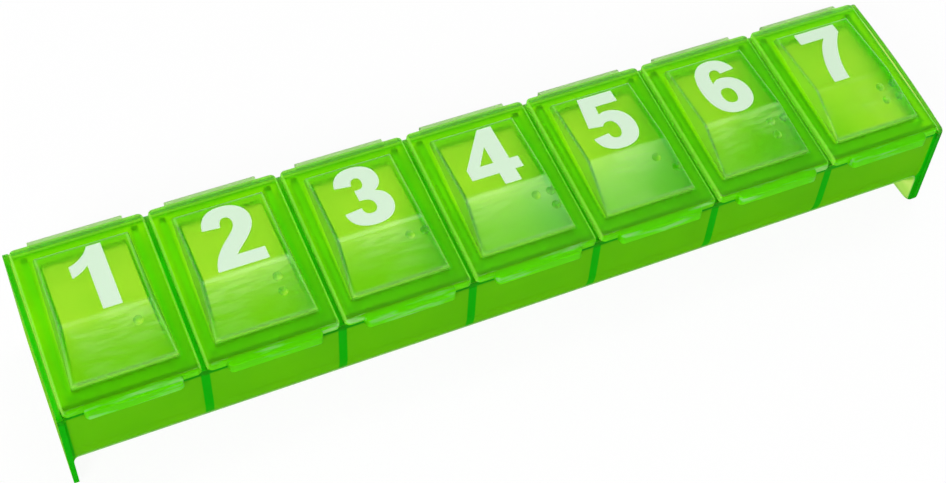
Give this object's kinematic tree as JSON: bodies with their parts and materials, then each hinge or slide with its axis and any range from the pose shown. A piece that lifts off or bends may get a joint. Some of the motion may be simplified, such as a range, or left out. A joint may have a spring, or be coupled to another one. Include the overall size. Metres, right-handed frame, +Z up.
{
  "type": "weekly pill organizer",
  "caption": "Weekly pill organizer: a scooped translucent tray of compartments in a row, each under its own lid with a living hinge, a raised reading panel, a thumb tab and braille.",
  "frame": {"origin": "on the surface it stands on, under the middle of its length and of its overall depth", "axes": "+X along the row of compartments, +Y from the thumb tabs to the hinges, +Z up"},
  "size_m": [0.1516, 0.0316, 0.0238],
  "materials": {
    "tray_plastic": "translucent lime green, smooth",
    "lid_plastic": "translucent lime green, smooth",
    "hinge_plastic": "thin translucent green, paler where it bends"
  },
  "bodies": {
    "tray": {"tray": "tray_plastic", "hinge_1": "hinge_plastic", "hinge_2": "hinge_plastic", "hinge_3": "hinge_plastic", "hinge_4": "hinge_plastic", "hinge_5": "hinge_plastic", "hinge_6": "hinge_plastic", "hinge_7": "hinge_plastic"},
    "lid_1": {"lid_1": "lid_plastic"},
    "lid_2": {"lid_2": "lid_plastic"},
    "lid_3": {"lid_3": "lid_plastic"},
    "lid_4": {"lid_4": "lid_plastic"},
    "lid_5": {"lid_5": "lid_plastic"},
    "lid_6": {"lid_6": "lid_plastic"},
    "lid_7": {"lid_7": "lid_plastic"}
  },
  "joints": [
    {"name": "lid_1_swing", "type": "hinge", "parent": "tray", "child": "lid_1", "pos_m": [-0.0645, 0.01507, 0.02205], "axis": [-1, 0, 0], "range_deg": [0, 180], "deforming": ["hinge_1"]},
    {"name": "lid_2_swing", "type": "hinge", "parent": "tray", "child": "lid_2", "pos_m": [-0.043, 0.01507, 0.02205], "axis": [-1, 0, 0], "range_deg": [0, 180], "deforming": ["hinge_2"]},
    {"name": "lid_3_swing", "type": "hinge", "parent": "tray", "child": "lid_3", "pos_m": [-0.0215, 0.01507, 0.02205], "axis": [-1, 0, 0], "range_deg": [0, 180], "deforming": ["hinge_3"]},
    {"name": "lid_4_swing", "type": "hinge", "parent": "tray", "child": "lid_4", "pos_m": [0, 0.01507, 0.02205], "axis": [-1, 0, 0], "range_deg": [0, 180], "deforming": ["hinge_4"]},
    {"name": "lid_5_swing", "type": "hinge", "parent": "tray", "child": "lid_5", "pos_m": [0.0215, 0.01507, 0.02205], "axis": [-1, 0, 0], "range_deg": [0, 180], "deforming": ["hinge_5"]},
    {"name": "lid_6_swing", "type": "hinge", "parent": "tray", "child": "lid_6", "pos_m": [0.043, 0.01507, 0.02205], "axis": [-1, 0, 0], "range_deg": [0, 180], "deforming": ["hinge_6"]},
    {"name": "lid_7_swing", "type": "hinge", "parent": "tray", "child": "lid_7", "pos_m": [0.0645, 0.01507, 0.02205], "axis": [-1, 0, 0], "range_deg": [0, 180], "deforming": ["hinge_7"]}
  ]
}
